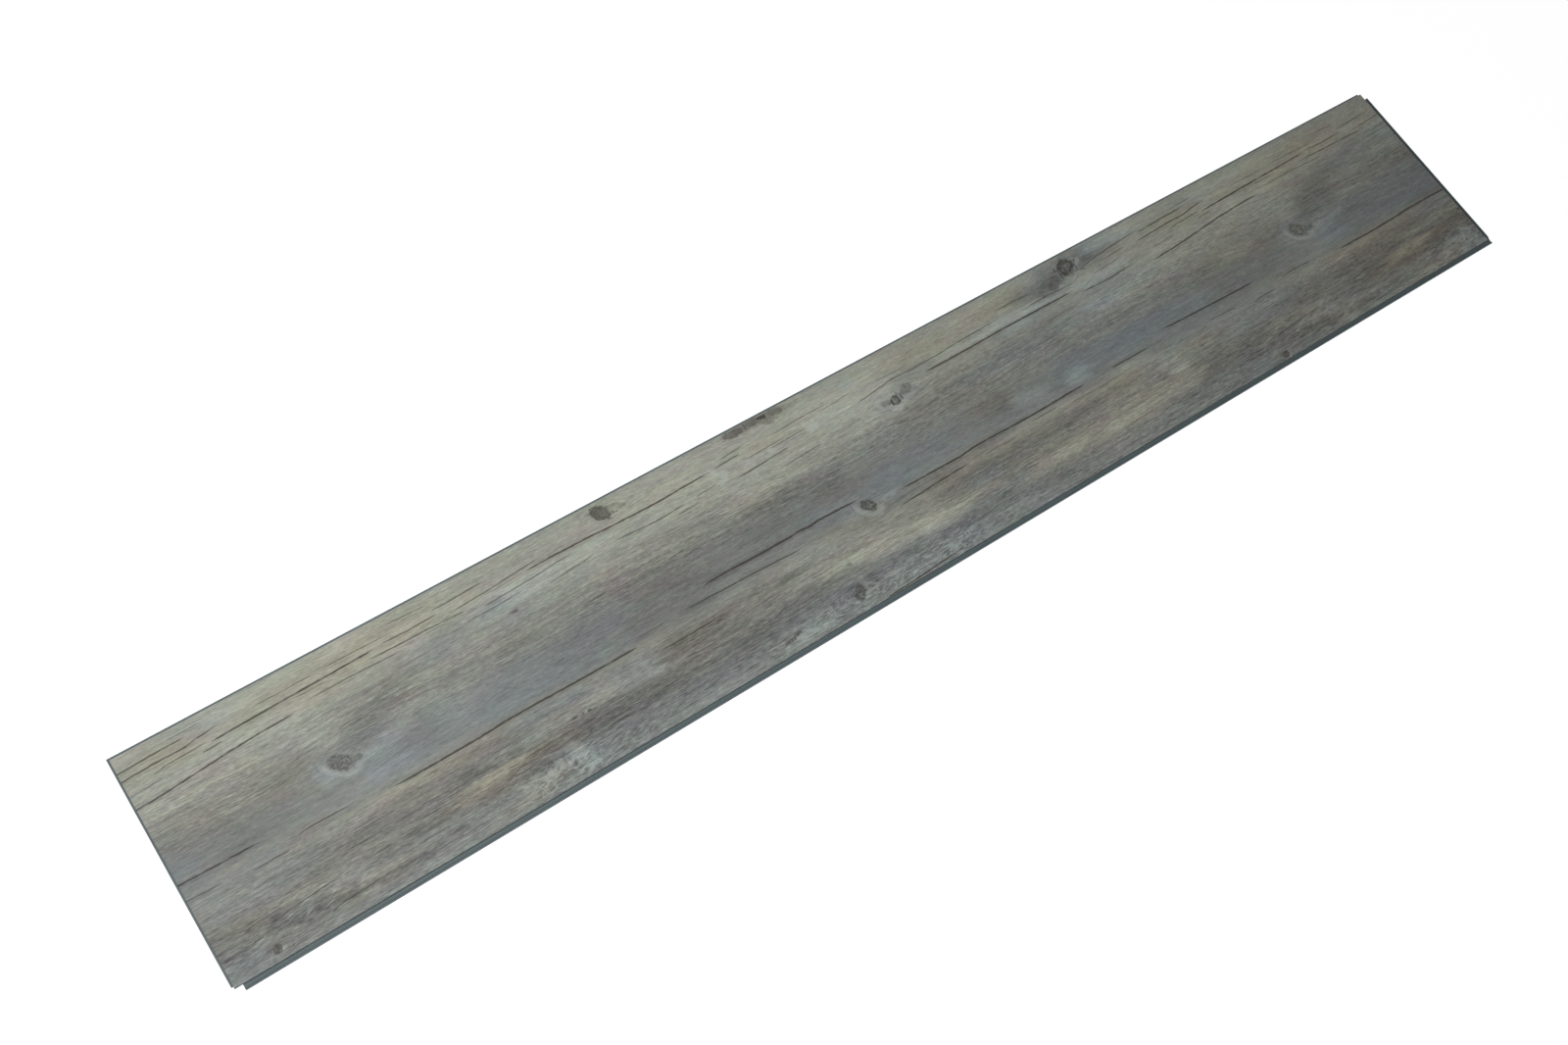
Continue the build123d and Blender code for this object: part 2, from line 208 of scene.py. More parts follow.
# Cracks in the wood: half width, darkness, then points along and across
CRACKS = (
    (0.55, 0.95, (63, 157), (80, 157.6), (112, 158.5), (155, 159.3), (190, 160.2)),
    (0.6, 1.0, (153, 64.8), (190, 64.5), (220, 64.8), (242, 65.7), (265, 65.7), (300, 65), (352, 64.7)),
    (0.5, 0.95, (312, 157.6), (335, 158), (368, 157.4), (386, 156.5), (430, 155.8), (446, 156.6), (472, 157.3)),
    (0.75, 1.0, (420, 80.5), (434, 81.2), (450, 81), (470, 80.3), (500, 80.2), (509, 80.9), (518, 79.9), (527, 80.8),
      (545, 80.2), (563, 79.7)),
    (0.4, 0.75, (398, 71.3), (412, 71), (430, 70.3), (460, 69.7), (500, 67.8)),
    (0.62, 1.0, (602, 69.5), (640, 69), (660, 68.8), (674, 69.9), (690, 70), (712, 69.3), (742, 69), (792, 69.9)),
    (0.45, 0.9, (592, 58.2), (615, 58.8), (630, 59.8), (645, 60), (662, 60.3)),
    (0.55, 0.95, (680, 145), (715, 144.9), (745, 145.3), (760, 145.8), (800, 145.6), (836, 145.5)),
    (0.55, 0.95, (885, 77.8), (900, 76.8), (930, 75.9), (960, 75), (991, 74.5)),
    (0.5, 0.9, (-10, 138.6), (20, 140.3), (45, 142.3), (70, 144.5), (95, 145.8), (120, 146.3)),
    (0.45, 0.7, (845, 141), (862, 140), (885, 140.3), (902, 141)),
    (0.42, 0.8, (366, 53.5), (385, 53), (410, 53.7), (422, 54)),
    (0.45, 0.9, (535, 0.7), (560, 1.2), (580, 2.3), (608, 3.6)),
    (0.45, 0.75, (-6, 167.6), (25, 169), (50, 169.2)),
    (0.42, 0.75, (-13, 161), (25, 162.6), (45, 162.5), (56, 164.2), (72, 165.9)),
    (0.4, 0.65, (195, 161), (215, 160.3), (240, 161)),
    (0.35, 0.7, (182, 154.9), (205, 154.2), (230, 154), (260, 153)),
    (0.35, 0.65, (237, 165), (255, 165.3), (282, 166.3)),
    (0.25, 0.45, (98, 165.2), (125, 165), (145, 165.6)),
    (0.25, 0.45, (150, 165.8), (175, 165.7), (205, 165.2)),
    (0.3, 0.5, (135, 150.6), (165, 150.5), (205, 149.2)),
    (0.35, 0.65, (82, 69), (95, 69.6), (119, 69)),
    (0.3, 0.5, (-4, 67.2), (25, 66)),
    (0.35, 0.6, (46, 62.7), (60, 62.8), (72, 62.5)),
    (0.35, 0.5, (40, 25.8), (60, 27.3), (75, 28.5), (92, 29)),
    (0.35, 0.5, (75, 12), (100, 13), (116, 14)),
    (0.3, 0.5, (0, 19), (25, 18.6)),
    (0.3, 0.55, (250, 156.8), (280, 158.4), (305, 160.3), (330, 162)),
    (0.25, 0.4, (282, 156.2), (310, 157.4)),
    (0.3, 0.5, (270, 148.6), (310, 150.2), (350, 153)),
    (0.35, 0.5, (255, 144.4), (280, 144.5), (302, 145.3)),
    (0.3, 0.5, (322, 140.2), (340, 142), (362, 143.2)),
    (0.35, 0.65, (383, 145), (400, 144), (420, 143), (446, 144.2)),
    (0.3, 0.55, (455, 144.8), (476, 145.8)),
    (0.35, 0.6, (480, 157.5), (495, 158.5), (505, 158.8)),
    (0.35, 0.65, (490, 142), (515, 143), (545, 144.8)),
    (0.3, 0.45, (505, 152), (520, 152.7), (542, 153)),
    (0.3, 0.5, (525, 132), (545, 133), (568, 133.8)),
    (0.3, 0.45, (538, 160.3), (565, 161.2), (592, 161.6)),
    (0.25, 0.4, (583, 158), (612, 160)),
    (0.3, 0.5, (528, 150.5), (562, 151.6)),
    (0.35, 0.55, (613, 149), (630, 151), (650, 153.3), (672, 152.7), (706, 153)),
    (0.35, 0.55, (696, 153.4), (720, 154.3), (765, 155.4)),
    (0.3, 0.5, (730, 64.5), (758, 64.5)),
    (0.7, 0.6, (822, 70.3), (845, 69.9), (863, 70)),
    (0.25, 0.4, (768, 61.5), (800, 61), (832, 61.5)),
    (0.3, 0.5, (765, 163), (785, 162.5), (802, 162)),
    (0.4, 0.5, (795, 152.7), (815, 152.7), (846, 151.5)),
    (0.35, 0.55, (857, 160.5), (875, 162.3), (895, 164.5), (925, 166.5)),
    (0.25, 0.4, (865, 150.3), (900, 152.2)),
    (0.3, 0.45, (878, 157), (908, 159.2)),
    (0.25, 0.4, (636, 158.2), (668, 157.4)),
    (0.35, 0.5, (20, 155.6), (32, 157.6), (60, 158.4)),
    (0.25, 0.4, (-2, 149), (25, 150.6)),
    (0.35, 0.55, (54, 152.8), (70, 153.6)),
    (0.25, 0.4, (35, 172.8), (62, 173.6)),
    (0.25, 0.4, (205, 172), (236, 171)),
    (0.25, 0.4, (126, 156), (151, 156)),
    (0.3, 0.4, (434, 139), (456, 139.6)),
    (0.3, 0.45, (488, 162.3), (511, 163.6)),
    (0.3, 0.35, (352, 70.6), (380, 70.8)),
    (0.25, 0.35, (680, 60.2), (712, 59.4)),
)
CRACK_LAYERS = 4  # sets in which no two cracks come near each other
CRACK_REACH = 1.6  # how far from its middle a crack still shades the print
CRACK_CLEARANCE = 5.4  # the least distance between two cracks of one set

LATTICE = 128  # random heights to a side of the value noise, before it repeats
LONGEST_EASE = 26  # over which a long streak fades in and out
FULLY_FRAYED = 80  # length from which a streak is frayed in full
MEAN_LIGHTNESS = 0.492  # of the print, as a screen shows it
TINT_LIGHTNESS = 0.515  # where the tints show as they are set
SCREEN_GAMMA = 2.2

# The bake's map, in millimetres: the face in two halves, one over the other, and the underside in a thin strip
MAP_BORDER = 3  # for bevel and wall, round the face
MAP_SIZE = (617, 396)
MAP_ROW = 190  # from one half's foot to the other's
MAP_SHRINK = (2, 16)  # of the underside
MAP_MARGIN = 0.003


def display(red, green, blue):
    """The linear colour that a screen shows as these steps of 0 to 255."""
    steps = np.array((red, green, blue)) / 255
    return tuple(np.where(steps <= 0.04045, steps / 12.92, ((steps + 0.055) / 1.055) ** 2.4))


def colour_property(name, description, *steps):
    default = display(*steps)
    return FloatVectorProperty(
        name=name, description=description, subtype="COLOR", size=3, min=0, max=1, default=default
    )


def vector_property(name, description, subtype, *default):
    return FloatVectorProperty(name=name, description=description, subtype=subtype, default=default)


def number_property(name, description, default, unit="LENGTH"):
    return FloatProperty(name=name, description=description, default=default, unit=unit)


class PlankDecorSettings(bpy.types.PropertyGroup):
    columns: IntProperty(name="Columns", description="Grid steps along the face", default=488, min=20)
    rows: IntProperty(name="Rows", description="Grid steps across the face", default=194, min=10)
    bevel: number_property("Bevel", "Width of the small bevel round the face", 0.3 * MM)
    crack_depth: number_property("Crack depth", "Depth of the embossed cracks", 0.14 * MM)
    grain_depth: number_property("Grain depth", "Depth of the embossed grain", 0.05 * MM)
    warm: colour_property("Warm grey", "Print where it is warmest", 139, 135, 120.5)
    cool: colour_property("Cool grey", "Print where it is coolest", 124.5, 133, 134.5)
    crack: colour_property("Crack", "Inside of the printed cracks", 58, 53, 47)
    knot: colour_property("Knot", "Darkest part of the printed knots", 63, 60, 54)
    scuff: colour_property("Scuff", "Pale fibres of the rough-sawn patches", 172, 178, 172)
    film_edge: colour_property("Film edge", "Cut edge of the film and its clear layer", 104, 112, 111)


class PlankCoreSettings(bpy.types.PropertyGroup):
    body: colour_property("Core", "Grey vinyl of the core", 80, 92, 94)
    chalk: colour_property("Chalk", "Pale filler specks in the core", 108, 119, 121)
    dark: colour_property("Mill marks", "Darker lines that the cutters leave", 60, 71, 74)


class PlankStudioSettings(bpy.types.PropertyGroup):
    lamp_place: vector_property("Lamp place", "Middle of the soft lamp", "TRANSLATION", -0.57, -0.16, 1.40)
    lamp_size: number_property("Lamp size", "Width of the soft lamp", 0.5)
    lamp_power: number_property("Lamp power", "Power of the soft lamp", 19.0, "POWER")
    room_light: number_property("Room light", "Even light from all sides", 0.16, "NONE")
    floor_side: number_property("Floor", "Side of the floor", 12.0)
    camera_place: vector_property("Camera place", "Where the camera stands", "TRANSLATION", -0.57104, -0.32634, 1.19039)
    camera_right: vector_property(
        "Camera right", "Direction to the right of the picture", "DIRECTION", 0.81547, -0.55478, 0.16502
    )
    camera_up: vector_property(
        "Camera up", "Direction to the top of the picture", "DIRECTION", 0.45891, 0.79346, 0.39977
    )
    camera_lens: number_property("Lens", "Focal length on a 36 mm wide sensor", 39.21, "CAMERA")


# Shader expressions


def arithmetic(operation, swapped=False):
    """A method of Wire that adds the Math node for this operation."""

    def method(self, *others):
        return self.bench.math(operation, *((*others, self) if swapped else (self, *others)))

    return method


class Wire:
    """A socket that gives a number. Arithmetic on wires adds the Math nodes that work it out."""

    def __init__(self, bench, socket):
        self.bench, self.socket = bench, socket

    __add__ = __radd__ = arithmetic("ADD")
    __sub__ = arithmetic("SUBTRACT")
    __rsub__ = arithmetic("SUBTRACT", swapped=True)
    __mul__ = __rmul__ = arithmetic("MULTIPLY")
    __truediv__ = arithmetic("DIVIDE")
    __pow__ = arithmetic("POWER")
    __abs__ = arithmetic("ABSOLUTE")


class Bench:
    """One node tree, with the method that adds a node to it and the few nodes that most finishes need."""

    def __init__(self, tree):
        self.tree = tree
        tree.nodes.clear()

    def node(self, kind, settings=None, sockets=None, output=0):
        """Adds a node of this type, sets its settings, then fills or links its sockets. Returns one output."""
        node = self.tree.nodes.new(kind)
        for name, value in (settings or {}).items():
            setattr(node, name, value)
        for key, value in (sockets or {}).items():
            if isinstance(value, Wire):
                self.tree.links.new(value.socket, node.inputs[key])
            else:
                node.inputs[key].default_value = value
        return Wire(self, node.outputs[output]) if node.outputs else None

    def math(self, operation, *values):
        return self.node("ShaderNodeMath", {"operation": operation}, dict(enumerate(values)))

    def vector_math(self, operation, *values):
        return self.node("ShaderNodeVectorMath", {"operation": operation}, dict(enumerate(values)))

    def attribute(self, name):
        return self.node("ShaderNodeAttribute", {"attribute_name": name}, output="Vector")

    def parts(self, vector):
        """The three numbers of a vector."""
        return [self.node("ShaderNodeSeparateXYZ", sockets={0: vector}, output=k) for k in range(3)]

    def stretched(self, vector, sizes, seed=0.0):
        """The vector measured in steps of these sizes, one per axis, and moved along Z to vary the pattern."""
        scaled = self.vector_math("MULTIPLY", vector, tuple(1 / size for size in sizes))
        return self.vector_math("ADD", scaled, (0, 0, seed))

    def noise(self, vector, sizes, seed=0.0, detail=3.0, roughness=0.5, distortion=0.0):
        """Cloudy noise around zero whose blobs are about these sizes, one per axis."""
        place = self.stretched(vector, sizes, seed)
        values = {"Vector": place, "Scale": 1.0, "Detail": detail, "Roughness": roughness, "Distortion": distortion}
        return self.node("ShaderNodeTexNoise", sockets=values) - 0.5

    def ramp(self, value, start, end):
        """Goes smoothly from 0 where the value is start to 1 where it is end."""
        values = {"Value": value, "From Min": start, "From Max": end}
        return self.node("ShaderNodeMapRange", {"interpolation_type": "SMOOTHSTEP"}, values)

    def blend(self, share, first, second):
        """A colour that goes from the first to the second as the share goes from 0 to 1."""
        first, second = (c if isinstance(c, Wire) else (*c, 1) for c in (first, second))
        return self.node("ShaderNodeMix", {"data_type": "RGBA"}, {0: share, 6: first, 7: second}, output=2)

    def tinted(self, colour, amount):
        """A colour made lighter or darker by a factor."""
        return self.node("ShaderNodeVectorMath", {"operation": "SCALE"}, {0: colour, "Scale": amount})

    def finish(self, sockets, height, depth):
        """Joins a Principled shader with these sockets, and a bump of this height and depth, to the output."""
        bump = self.node("ShaderNodeBump", sockets={"Strength": 1.0, "Distance": depth, "Height": height})
        shader = self.node("ShaderNodeBsdfPrincipled", sockets={**sockets, "Normal": bump})
        self.node("ShaderNodeOutputMaterial", sockets={"Surface": shader})


def new_material(name):
    material = bpy.data.materials.new(name)
    material.use_nodes = True
    return material, Bench(material.node_tree)


def new_object(name, data):
    piece = bpy.data.objects.new(name, data)
    bpy.context.scene.collection.objects.link(piece)
    return piece


# The print's figure, worked out for whole arrays of places


def smooth_step(x):
    """0 below 0, 1 above 1 and a cubic ease between."""
    x = np.clip(x, 0, 1)
    return x * x * (3 - 2 * x)


def patchy(x, y, seed):
    """Value noise from -1 to 1: random heights on a unit lattice, joined by cubic eases."""
    lattice = np.random.default_rng(seed).uniform(-1, 1, (LATTICE, LATTICE))
    i, j = np.floor(x).astype(int), np.floor(y).astype(int)
    a, b = smooth_step(x - i), smooth_step(y - j)
    left, right, foot, head = (k % LATTICE for k in (i, i + 1, j, j + 1))
    low = lattice[left, foot] * (1 - a) + lattice[right, foot] * a
    high = lattice[left, head] * (1 - a) + lattice[right, head] * a
    return low * (1 - b) + high * b


def fraying(along, across):
    """How far noise moves each place, along and across, so that what is drawn gets torn, wood-like edges."""
    shift = 12 * patchy(along / 35, across / 6, 1) + 13 * patchy(along / 40, across / 1.4, 2)
    lift = 2.2 * patchy(along / 45, across / 12, 3) + 1.1 * patchy(along / 26, across / 2.6, 4)
    return shift, lift


def streak_sum(along, across, fray, streaks):
    """Sum of streaks. Each is its amount times a bell across its line, exp(-0.7 d^3) with d in half widths,
    times an ease in and out along it. The shorter the streak, the less it is frayed."""
    total = np.zeros_like(along)
    for start, end, middle, half_width, amount, *climb in streaks:
        rise = sum(climb)
        ease = min(LONGEST_EASE, 0.4 * (end - start))
        share = min(1, (end - start) / FULLY_FRAYED)
        place = along + share * fray[0]
        run = (place - start) / (end - start)
        off = np.abs(across + share * fray[1] - middle - rise * np.clip(run, 0, 1)) / half_width
        ends = smooth_step((place - start) / ease + 0.5) * smooth_step((end - place) / ease + 0.5)
        total += amount * ends * np.exp(-0.7 * off**3)
    return total


def grain_across(along, across):
    """Which fibre a place lies on: its place across, less the climb of each swell, squeezed round each dark knot."""
    fibre = across.copy()
    for middle, height, half_length, half_width, rise in SWELLS:
        bell = np.exp(-(((along - middle) / (1.4 * half_length)) ** 2) - ((across - height) / half_width) ** 2)
        fibre -= rise * np.clip((along - middle) / half_length, -1.2, 1.2) * bell
    for middle, height, long_half, short_half, _, darkness, *_ in KNOTS:
        if darkness < 0:
            continue
        off = across - height
        near = np.exp(-(((along - middle) / (3.2 * long_half)) ** 2) - (off / (2.6 * short_half)) ** 2)
        fibre -= 0.55 * off * near
    return fibre


def knot_fields(turned):
    """For each place, its offset from the nearest knot in knot radii with that knot's halo, and the knot's looks.
    Halo and darkness ease to nothing a few millimetres out from the knot."""
    shape = turned[0][0].shape
    offset, looks, nearest = np.zeros((*shape, 3)), np.zeros((*shape, 3)), np.full(shape, np.inf)
    for along, across in turned:
        for middle, height, long_half, short_half, tilt, darkness, rim, mottled, halo in KNOTS:
            turn = math.radians(tilt)
            a = ((along - middle) * math.cos(turn) + (across - height) * math.sin(turn)) / long_half
            b = ((across - height) * math.cos(turn) - (along - middle) * math.sin(turn)) / short_half
            distance = np.hypot(a, b)
            reach = 1 + 6.5 / min(long_half, short_half)
            here = (distance < nearest) & (distance < reach)
            nearest = np.where(here, distance, nearest)
            near = 1 - smooth_step((distance - reach + 0.5) / 0.5)
            offset[here] = np.stack((a, b, halo * near), -1)[here]
            looks[here] = np.stack((darkness * near, rim + 0 * near, mottled + 0 * near), -1)[here]
    return offset, looks


def crack_layers():
    """Deals the cracks out so that those of one layer stay clear of each other."""
    layers = [[] for _ in range(CRACK_LAYERS)]
    for crack in CRACKS:
        points = np.array(crack[2:])

        def clear_of(other):
            line = np.array(other[2:])
            start, end = max(points[0, 0], line[0, 0]) - 12, min(points[-1, 0], line[-1, 0]) + 12
            samples = np.linspace(start, end, 40)
            gap = np.abs(np.interp(samples, *points.T) - np.interp(samples, *line.T))
            return start > end or gap.min() > CRACK_CLEARANCE

        free = [layer for layer in layers if all(clear_of(other) for other in layer)]
        if not free:
            raise RuntimeError("the cracks need one more layer")
        free[0].append(crack)
    return layers


def crack_field(along, across, cracks):
    """For each place, the signed distance across to the nearest crack's line, that crack's half width and its
    darkness there. The line joins the crack's points, and width and darkness ease to nothing at its ends."""
    field = np.tile((9.0, 1.0, 0.0), (*along.shape, 1))  # clear of every crack
    for half_width, darkness, *points in cracks:
        line = np.array(points, float)
        start, end = line[0, 0], line[-1, 0]
        offset = across - np.interp(along, *line.T)
        ease = min(16, 0.3 * (end - start))
        taper = smooth_step((along - start) / ease + 0.15) * smooth_step((end - along) / ease + 0.15)
        inside = 1 - smooth_step((np.abs(offset) - CRACK_REACH) / 1.1)
        here = (np.abs(offset) < np.abs(field[..., 0])) & (along > start - 8) & (along < end + 8)
        width = (0.08 + 0.9 * half_width) * (0.45 + 0.6 * taper)
        field[here] = np.stack((offset, width, darkness * inside * smooth_step(taper * 2.5)), -1)[here]
    return field


def strongest(fields, weight):
    """Picks, place by place, the field whose weight column is largest."""
    stack = np.stack(fields)
    best = stack[..., weight].argmax(0)
    return np.take_along_axis(stack, best[None, ..., None], 0)[0]


def print_fields(along, across):
    """Every attribute of the print at these places, each turn of the roller laid over the last, and painted light and
    shade laid once over the lightness.
    """
    turned = [(along - turn * PRINT_REPEAT, across - turn * PRINT_DRIFT) for turn in PRINT_TURNS]
    skewed = across - PRINT_DRIFT * along / PRINT_REPEAT
    light = np.interp(skewed + fraying(along, skewed)[1], ACROSS, LIGHT_ACROSS)
    warm = np.interp(skewed, ACROSS, WARM_ACROSS)
    streaky = np.interp(skewed, ACROSS, STREAKY_ACROSS)
    scuffed = np.zeros_like(along)
    fibre = across.copy()
    # Laid once over the whole board: painted light and shade for the lamp's uneven fall-off in the lightness, and a
    # slow change of warmth
    fray = fraying(along, across)
    light += streak_sum(along, across, fray, PAINTED_LIGHT_ONCE)
    warm += streak_sum(along, across, fray, WARM_ONCE)
    for a, b in turned:
        fray = fraying(a, b)
        light += streak_sum(a, b, fray, LIGHT_STREAKS)
        warm += streak_sum(a, b, fray, WARM_STREAKS)
        scuffed += streak_sum(a, b, fray, SCUFFED)
        fibre += grain_across(a, b) - b
    knot, looks = knot_fields(turned)
    fields = {
        "grain": np.stack((along, fibre, np.clip(scuffed, 0, 1)), -1),
        "tone": np.stack((light / 255, warm / 255, streaky), -1),
        "knot": knot,
        "knot_looks": looks,
    }
    for k, layer in enumerate(crack_layers()):
        fields[f"crack_{k}"] = strongest([crack_field(a, b, layer) for a, b in turned], 2)
    return fields


# Decor layer


def skin_lines(low, high, bevel, steps):
    """Grid lines across one side of the skin: wall foot, wall top, then even steps between the bevels' top edges,
    wall top and wall foot."""
    return np.concatenate(([low, low], np.linspace(low + bevel, high - bevel, steps + 1), [high, high]))


def rim_heights(lines, floor, wall_top, top):
    """Height of each grid line: foot and top of the wall at either edge, and the face between them."""
    heights = np.full(len(lines), top)
    heights[[1, -2]] = wall_top
    heights[[0, -1]] = floor
    return heights


def map_lines(count, length):
    """Where each grid line falls on the bake's map: true steps on the face, which is this long, and wider ones on
    the rim."""
    steps = np.full(count - 1, length / (count - 5))
    steps[[0, 1, -2, -1]] = MAP_BORDER / 2
    return np.concatenate(([0], np.cumsum(steps)))


def decor_mesh(settings):
    """A closed skin: the height at a grid point is the lower of its two lines' rim heights, less the relief, which
    is each crack's depth times exp(-(offset / (0.55 mm + half width))^2) and a shallow noise drawn out along the
    fibres."""
    low, high = DECOR_BOX
    xs = skin_lines(low.x, high.x, settings.bevel, settings.columns)
    ys = skin_lines(low.y, high.y, settings.bevel, settings.rows)
    wall_top = high.z - settings.bevel
    rim = np.minimum.outer(rim_heights(xs, low.z, wall_top, high.z), rim_heights(ys, low.z, wall_top, high.z))
    x, y = np.meshgrid(xs, ys, indexing="ij")
    fields = print_fields((x - low.x) / MM, (y - low.y) / MM)

    along, fibre = fields["grain"][..., 0], fields["grain"][..., 1]
    grooves = 0
    for k in range(CRACK_LAYERS):
        offset, width, darkness = np.moveaxis(fields[f"crack_{k}"], -1, 0)
        grooves = grooves + darkness * np.exp(-((offset / (0.55 + width)) ** 2))
    ripple = 0.5 + 0.3 * patchy(along / 24, fibre / 1.9, 7) + 0.2 * patchy(along / 60, fibre / 6, 8)
    relief = settings.crack_depth * np.clip(grooves, 0, 1) + settings.grain_depth * ripple
    inner = np.zeros_like(x)
    inner[3:-3, 3:-3] = 1
    z = rim - relief * inner

    columns, rows = x.shape
    index = np.arange(columns * rows).reshape(columns, rows)
    for i, next_i in ((0, 1), (-1, -2)):
        for j, next_j in ((0, 1), (-1, -2)):
            index[next_i, j] = index[i, next_j] = index[i, j]
    quads = np.stack((index[:-1, :-1], index[1:, :-1], index[1:, 1:], index[:-1, 1:]), -1)
    column_of = np.broadcast_to(np.arange(columns - 1)[:, None], quads.shape[:2])
    whole = np.ones(quads.shape[:2], bool)
    whole[[0, 0, -1, -1], [0, -1, 0, -1]] = False
    under = np.stack((index[2:-3, 0], index[2:-3, -1], index[3:-2, -1], index[3:-2, 0]), -1)
    left = [index[0, 0], *index[0, 2:-2], index[0, -1], index[2, -1], index[2, 0]]
    right = [index[-3, 0], index[-3, -1], index[-1, -1], *index[-1, -3:1:-1], index[-1, 0]]
    faces = [*quads[whole].tolist(), *under.tolist(), left, right]

    used = np.unique(np.concatenate((quads[whole].ravel(), under.ravel(), left, right)))
    renumber = np.zeros(columns * rows, int)
    renumber[used] = np.arange(len(used))
    faces = [[int(renumber[k]) for k in face] for face in faces]

    mesh = bpy.data.meshes.new("decor_skin")
    mesh.from_pydata(np.stack((x, y, z), -1).reshape(-1, 3)[used].tolist(), [], faces)
    for name, values in fields.items():
        attribute = mesh.attributes.new(name, "FLOAT_VECTOR", "POINT")
        attribute.data.foreach_set("vector", values.reshape(-1, 3)[used].astype(np.float32).ravel())

    # The bake's map: the left half keeps to the lower row, and the right half moves up one
    along_map = map_lines(columns, (high.x - low.x) / MM)
    middle = (columns - 1) // 2
    place_along = np.repeat(along_map, rows)[used]
    place_across = np.tile(map_lines(rows, (high.y - low.y) / MM), columns)[used]
    corner = np.zeros(len(mesh.loops), np.int32)
    mesh.loops.foreach_get("vertex_index", corner)
    upper = np.zeros(len(mesh.loops), bool)
    upper[: 4 * whole.sum()] = np.repeat(column_of[whole] >= middle, 4)
    beneath = np.arange(len(mesh.loops)) >= 4 * whole.sum()
    u = np.where(upper, place_along[corner] - along_map[middle], place_along[corner])
    v = place_across[corner] + np.where(upper, MAP_ROW, 0)
    u = np.where(beneath, place_along[corner] / MAP_SHRINK[0], u)
    v = np.where(beneath, 2 * MAP_ROW + place_across[corner] / MAP_SHRINK[1], v)
    picture = mesh.uv_layers.new(name="OFBake")
    places = MAP_MARGIN + np.stack((u, v), -1) / MAP_SIZE
    picture.data.foreach_set("uv", places.astype(np.float32).ravel())

    mesh.polygons.foreach_set("use_smooth", np.ones(len(mesh.polygons), bool))
    mesh.set_sharp_from_angle(angle=math.radians(24))
    mesh.validate()
    return mesh


